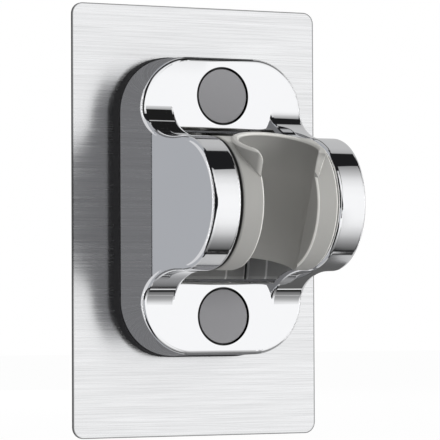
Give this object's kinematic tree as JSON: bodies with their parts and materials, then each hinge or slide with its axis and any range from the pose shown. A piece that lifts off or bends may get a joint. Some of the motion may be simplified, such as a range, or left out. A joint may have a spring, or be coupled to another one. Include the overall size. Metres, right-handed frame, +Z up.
{
  "type": "hand shower holder",
  "caption": "Stick-on wall holder for a hand shower: brushed plate, chromed body with arms, and a tilting slotted cup that grips the handset's cone.",
  "frame": {"origin": "centre of the plate's adhesive back face, in the wall plane", "axes": "+Z up along the plate, +Y into the wall, so the holder stands out towards -Y, +X to the right as seen from the front"},
  "size_m": [0.0764, 0.0568, 0.12],
  "materials": {
    "adhesive": "milky clear acrylic adhesive",
    "brushed_plate": "brushed sideways",
    "gasket": "black rubber",
    "chrome": "mirror chrome plating on moulded plastic",
    "cup_plastic": "satin light grey",
    "ring_rubber": "black rubber",
    "stud_steel": "zinc-bright steel",
    "cap_plastic": "mid grey, flat"
  },
  "bodies": {
    "base": {"adhesive_sheet": "adhesive", "face_plate": "brushed_plate", "base_gasket": "gasket", "body_shell": "chrome", "stud_upper": "stud_steel", "stud_lower": "stud_steel", "washer_upper": "stud_steel", "washer_lower": "stud_steel", "nut_upper": "stud_steel", "nut_lower": "stud_steel", "cap_upper": "cap_plastic", "cap_lower": "cap_plastic"},
    "cup": {"cradle": "cup_plastic", "o_ring_left": "ring_rubber", "o_ring_right": "ring_rubber"}
  },
  "joints": [
    {"name": "cradle_tilt", "type": "hinge", "parent": "base", "child": "cup", "pos_m": [0, -0.0379, 0.0038], "axis": [1, 0, 0], "range_deg": [-33, 42]}
  ]
}
